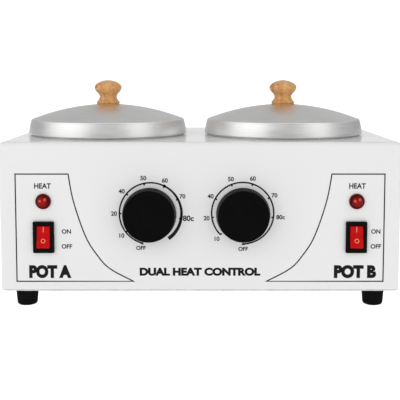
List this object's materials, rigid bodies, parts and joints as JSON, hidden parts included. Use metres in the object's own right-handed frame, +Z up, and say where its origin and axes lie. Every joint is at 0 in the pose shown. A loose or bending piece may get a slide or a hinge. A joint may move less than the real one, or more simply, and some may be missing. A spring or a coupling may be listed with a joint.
{
  "type": "double wax warmer",
  "caption": "White sheet-metal warmer box with heated wells, lift-out pots under domed aluminium lids with wooden knobs, and dials, rocker switches and lamps on its front.",
  "frame": {"origin": "on the surface the feet stand on, under the middle of the whole part's box", "axes": "+X to the right seen from the front, +Y to the back, +Z up"},
  "size_m": [0.36, 0.2154, 0.2046],
  "materials": {
    "enamel": "glossy white enamel on folded sheet steel",
    "base_steel": "dark grey zinc-plated and painted sheet steel",
    "rubber": "matt black moulded rubber",
    "zinc": "bright zinc-plated steel",
    "spun_aluminium": "spun and fine-brushed aluminium",
    "heater_steel": "heat-tinted stainless band over mica",
    "glass_fibre": "needled glass-fibre felt",
    "brass": "tinned brass",
    "copper": "drawn copper capillary",
    "thermostat_can": "zinc-plated pressed can",
    "black_plastic": "satin black moulded plastic",
    "black_knob": "black moulded phenolic, satin sides",
    "red_plastic": "glossy red polycarbonate",
    "red_lens": "translucent red lens",
    "neon": "neon lamp glass",
    "ceramic_block": "steatite terminal block",
    "fuse": "tinned thermal-fuse case",
    "wire_brown": "brown silicone insulation",
    "wire_blue": "blue silicone insulation",
    "wire_green": "green and yellow silicone insulation",
    "beech": "turned and varnished beech"
  },
  "bodies": {
    "case": {"case_shell": "enamel", "base_plate": "base_steel", "base_screws": "zinc", "foot_front_left": "rubber", "foot_front_right": "rubber", "foot_back_left": "rubber", "foot_back_right": "rubber", "foot_screws": "zinc", "foot_nuts": "zinc", "left_well": "spun_aluminium", "right_well": "spun_aluminium", "left_heater_band": "heater_steel", "right_heater_band": "heater_steel", "band_screws": "zinc", "left_insulation": "glass_fibre", "right_insulation": "glass_fibre", "left_well_bridge": "zinc", "right_well_bridge": "zinc", "bridge_screws": "zinc", "well_nuts": "zinc", "left_thermostat": "thermostat_can", "right_thermostat": "thermostat_can", "thermostat_terminals": "brass", "thermostat_screws": "zinc", "left_capillary": "copper", "right_capillary": "copper", "left_switch_housing": "black_plastic", "right_switch_housing": "black_plastic", "switch_terminals": "brass", "left_lamp_body": "black_plastic", "right_lamp_body": "black_plastic", "left_lamp_lens": "red_lens", "right_lamp_lens": "red_lens", "lamp_clips": "zinc", "neon_bulbs": "neon", "power_inlet": "black_plastic", "inlet_pins": "brass", "inlet_screws": "zinc", "inlet_nuts": "zinc", "terminal_block": "ceramic_block", "terminal_screws": "zinc", "earth_stud": "brass", "thermal_fuses": "fuse", "wires_live": "wire_brown", "wires_neutral": "wire_blue", "wire_earth": "wire_green"},
    "left_pot": {"left_pot": "spun_aluminium"},
    "left_lid": {"left_lid": "spun_aluminium", "left_lid_knob": "beech", "lid_screw_left": "zinc"},
    "left_dial": {"left_dial_knob": "black_knob", "left_dial_shaft": "zinc"},
    "left_rocker": {"left_rocker": "red_plastic"},
    "right_pot": {"right_pot": "spun_aluminium"},
    "right_lid": {"right_lid": "spun_aluminium", "right_lid_knob": "beech", "lid_screw_right": "zinc"},
    "right_dial": {"right_dial_knob": "black_knob", "right_dial_shaft": "zinc"},
    "right_rocker": {"right_rocker": "red_plastic"}
  },
  "joints": [
    {"name": "left_pot_lift", "type": "slide", "parent": "case", "child": "left_pot", "axis": [0, 0, 1], "range_m": [0, 0.1]},
    {"name": "right_pot_lift", "type": "slide", "parent": "case", "child": "right_pot", "axis": [0, 0, 1], "range_m": [0, 0.1]},
    {"name": "left_lid_lift", "type": "slide", "parent": "left_pot", "child": "left_lid", "axis": [0, 0, 1], "range_m": [0, 0.06]},
    {"name": "right_lid_lift", "type": "slide", "parent": "right_pot", "child": "right_lid", "axis": [0, 0, 1], "range_m": [0, 0.06]},
    {"name": "left_dial_turn", "type": "hinge", "parent": "case", "child": "left_dial", "pos_m": [-0.0455, -0.09475, 0.085], "axis": [0, 1, 0], "range_deg": [0, 260]},
    {"name": "right_dial_turn", "type": "hinge", "parent": "case", "child": "right_dial", "pos_m": [0.0387, -0.09475, 0.085], "axis": [0, 1, 0], "range_deg": [0, 277]},
    {"name": "left_rocker_tip", "type": "hinge", "parent": "case", "child": "left_rocker", "pos_m": [-0.1405, -0.09565, 0.0646], "axis": [1, 0, 0], "range_deg": [0, 22]},
    {"name": "right_rocker_tip", "type": "hinge", "parent": "case", "child": "right_rocker", "pos_m": [0.1405, -0.09565, 0.0646], "axis": [1, 0, 0], "range_deg": [0, 22]}
  ]
}
